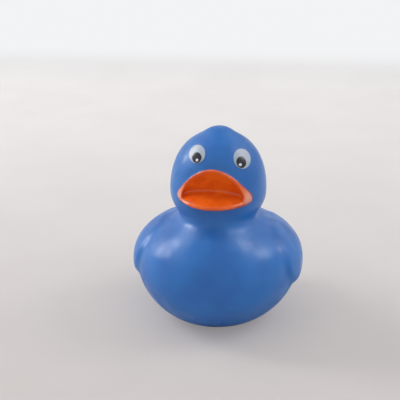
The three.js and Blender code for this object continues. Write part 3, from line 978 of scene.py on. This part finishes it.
class DUCK_OT_eyes(bpy.types.Operator):
    """Prints the eyes on the face: a white, a pupil and a glint each"""
    bl_idname = "duck.eyes"
    bl_label = "Eyes"

    def execute(self, context):
        prints, finish = context.scene.duck.prints, context.scene.duck.finish
        white = printing_ink("white_printing_ink", finish.white_ink, roughness=0.32)
        bright = printing_ink("bright_printing_ink", finish.glint_ink, roughness=0.3)
        black = printing_ink("black_printing_ink", finish.black_ink, roughness=0.2)
        share, radius = prints.pupil_share, prints.glint_radius
        for side, (across, up, half_width, half_height) in EYES.items():
            inward = -math.copysign(1, across)
            pupil_across = across + inward * prints.pupil_inward
            glint_across = across + inward * prints.glint_inward
            self.lay(prints, f"eye_white_{side}", across, up, half_width, half_height, 0, white)
            self.lay(prints, f"pupil_{side}", pupil_across, up - prints.pupil_drop,
                     half_width * share, half_height * share, 1, black)
            self.lay(prints, f"glint_{side}", glint_across, up - prints.glint_drop,
                     radius, radius, 2, bright)
        return {"FINISHED"}

    def lay(self, prints, node, across, up, half_width, half_height, layer, ink):
        """Lays one layer of ink: an oval that the pad presses onto the face from in front"""
        duck = bpy.data.objects["duck_moulding"]
        pitch = prints.pad_pitch
        stand_off = 60 * MM
        deselect_all()
        bpy.ops.mesh.primitive_circle_add(vertices=48, radius=half_width, fill_type="NOTHING")
        print_film = named(f"printed_{node}")
        start_editing(print_film)
        bpy.ops.mesh.select_all(action="SELECT")
        bpy.ops.transform.resize(value=(1, half_height / half_width, 1))
        bpy.ops.mesh.fill_grid(span=12)
        recalculate(print_film)
        outward = Vector((0, -math.cos(pitch), math.sin(pitch)))
        upward = Vector((0, math.sin(pitch), math.cos(pitch)))
        place = Vector((across, AXIS_Y, 0)) + upward * up + outward * stand_off
        turn = Matrix.Rotation(math.pi / 2 - pitch, 4, "X") @ Matrix.Rotation(-prints.lean, 4, "Z")
        print_film.matrix_world = Matrix.Translation(place) @ turn
        clear = prints.ink_clearance + layer * (prints.ink_thickness + prints.ink_clearance)
        apply_modifier(
            print_film, "SHRINKWRAP", target=duck, wrap_method="PROJECT", use_project_z=True,
            use_negative_direction=True, use_positive_direction=False, offset=clear,
        )
        pick(print_film)
        bpy.ops.object.transform_apply()
        recalculate(print_film)
        faces_front = sum(polygon.normal.y for polygon in print_film.data.polygons) < 0
        apply_modifier(print_film, "SOLIDIFY", thickness=prints.ink_thickness,
                       offset=1 if faces_front else -1)
        recalculate(print_film)
        pick(print_film)
        bpy.ops.object.shade_smooth_by_angle(angle=math.radians(50))
        give_material(print_film, ink)
        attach(print_film, "root")
        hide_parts(node)


class DUCK_OT_stage(bpy.types.Operator):
    """Sets the duck on a pale board before a pale wall, with soft light and the camera"""
    bl_idname = "duck.stage"
    bl_label = "Stage"

    def execute(self, context):
        studio, finish = context.scene.duck.studio, context.scene.duck.finish
        aim = Vector((0, AXIS_Y, studio.aim_height))
        self.set_up_board(studio, finish)
        self.set_up_camera(context, studio, aim)
        self.set_up_lamps(context, studio, aim)
        self.set_up_air(context, studio, finish)
        context.scene.view_settings.view_transform = "Standard"
        return {"FINISHED"}

    def set_up_board(self, studio, finish):
        """One board is floor and wall, with a curve between them, and stands square to the camera"""
        reach = studio.floor_reach
        deselect_all()
        bpy.ops.mesh.primitive_plane_add(size=2 * reach)
        board = named("studio_board")
        start_editing(board)
        far_edge = reach - MM
        select_where(board, lambda place: place.y > far_edge)
        bpy.ops.transform.translate(value=(0, studio.wall_distance - reach, 0))
        bpy.ops.mesh.extrude_edges_move(TRANSFORM_OT_translate={"value": (0, 0, studio.wall_height)})
        deselect_all()
        apply_modifier(board, "BEVEL", width=studio.wall_curve, segments=12, limit_method="ANGLE",
                       angle_limit=math.radians(50))
        pick(board)
        bpy.ops.object.shade_smooth()
        board.matrix_world = Matrix.Rotation(studio.camera_azimuth, 4, "Z")
        give_material(board, painted_board(finish, studio.wall_distance))

    def set_up_camera(self, context, studio, aim):
        azimuth, elevation = studio.camera_azimuth, studio.camera_elevation
        back = Vector((
            math.sin(azimuth) * math.cos(elevation), -math.cos(azimuth) * math.cos(elevation),
            math.sin(elevation),
        ))
        deselect_all()
        bpy.ops.object.camera_add(location=aim + back * studio.camera_distance)
        camera = context.active_object
        camera.rotation_mode = "QUATERNION"
        roll = Matrix.Rotation(studio.camera_roll, 3, "Z").to_quaternion()
        turn = (-back).to_track_quat("-Z", "Y") @ roll
        camera.rotation_quaternion = turn
        camera.location += turn @ Vector((studio.camera_right, studio.camera_up, 0))
        camera.data.lens = studio.lens
        context.scene.camera = camera

    def set_up_lamps(self, context, studio, aim):
        """Two soft round lamps behind the duck, the stronger and lower one on its right"""
        deselect_all()
        for side, behind, height in ((-1, studio.low_lamp_behind, studio.low_lamp_height),
                                     (1, studio.lamp_behind, studio.lamp_height)):
            place = (side * studio.lamp_aside, behind, height)
            bpy.ops.object.light_add(type="AREA", location=place)
            lamp = context.active_object
            lamp.data.shape = "DISK"
            lamp.data.size = studio.lamp_width
            lamp.data.energy = studio.lamp * (1 - side * studio.lamp_bias)
            lamp.rotation_mode = "QUATERNION"
            lamp.rotation_quaternion = (aim - lamp.location).to_track_quat("-Z", "Y")

    def set_up_air(self, context, studio, finish):
        """Even, faintly blue light from all round. The camera alone sees the wall's colour there."""
        air_tint = (0.93, 0.96, 1)
        world = bpy.data.worlds.new("studio_air")
        world.use_nodes = True
        tree = world.node_tree
        tree.nodes.clear()
        air = add_node(tree, "ShaderNodeBackground", {"Color": opaque(air_tint), "Strength": studio.sky})
        wall = add_node(tree, "ShaderNodeBackground", {"Color": opaque(finish.wall), "Strength": 1})
        seen = add_node(tree, "ShaderNodeLightPath").outputs["Is Camera Ray"]
        mix = add_node(tree, "ShaderNodeMixShader", {0: seen, 1: air.outputs[0], 2: wall.outputs[0]})
        finish_shader(tree, mix, "World")
        context.scene.world = world


class DUCK_PT_panel(bpy.types.Panel):
    """Lists the duck's pieces in the order in which they are made"""
    bl_idname = "DUCK_PT_panel"
    bl_label = "Rubber Duck"
    bl_space_type = "VIEW_3D"
    bl_region_type = "UI"
    bl_category = "Duck"

    def draw(self, context):
        for operator in STEPS:
            self.layout.operator(operator.bl_idname)


STEPS = (DUCK_OT_moulding, DUCK_OT_squeaker, DUCK_OT_eyes, DUCK_OT_stage)
GROUPS = (BodySizes, WingTailSizes, BeakSizes, PrintSizes, SqueakerSizes, Finishes, StudioSizes,
          DuckSettings)


def register():
    for each in (*GROUPS, *STEPS, DUCK_PT_panel):
        bpy.utils.register_class(each)
    bpy.types.Scene.duck = PointerProperty(type=DuckSettings)


def unregister():
    del bpy.types.Scene.duck
    for each in reversed((*GROUPS, *STEPS, DUCK_PT_panel)):
        bpy.utils.unregister_class(each)


def main():
    register()
    bpy.ops.duck.moulding()
    bpy.ops.duck.squeaker()
    bpy.ops.duck.eyes()
    bpy.ops.duck.stage()


if __name__ == "__main__":
    main()
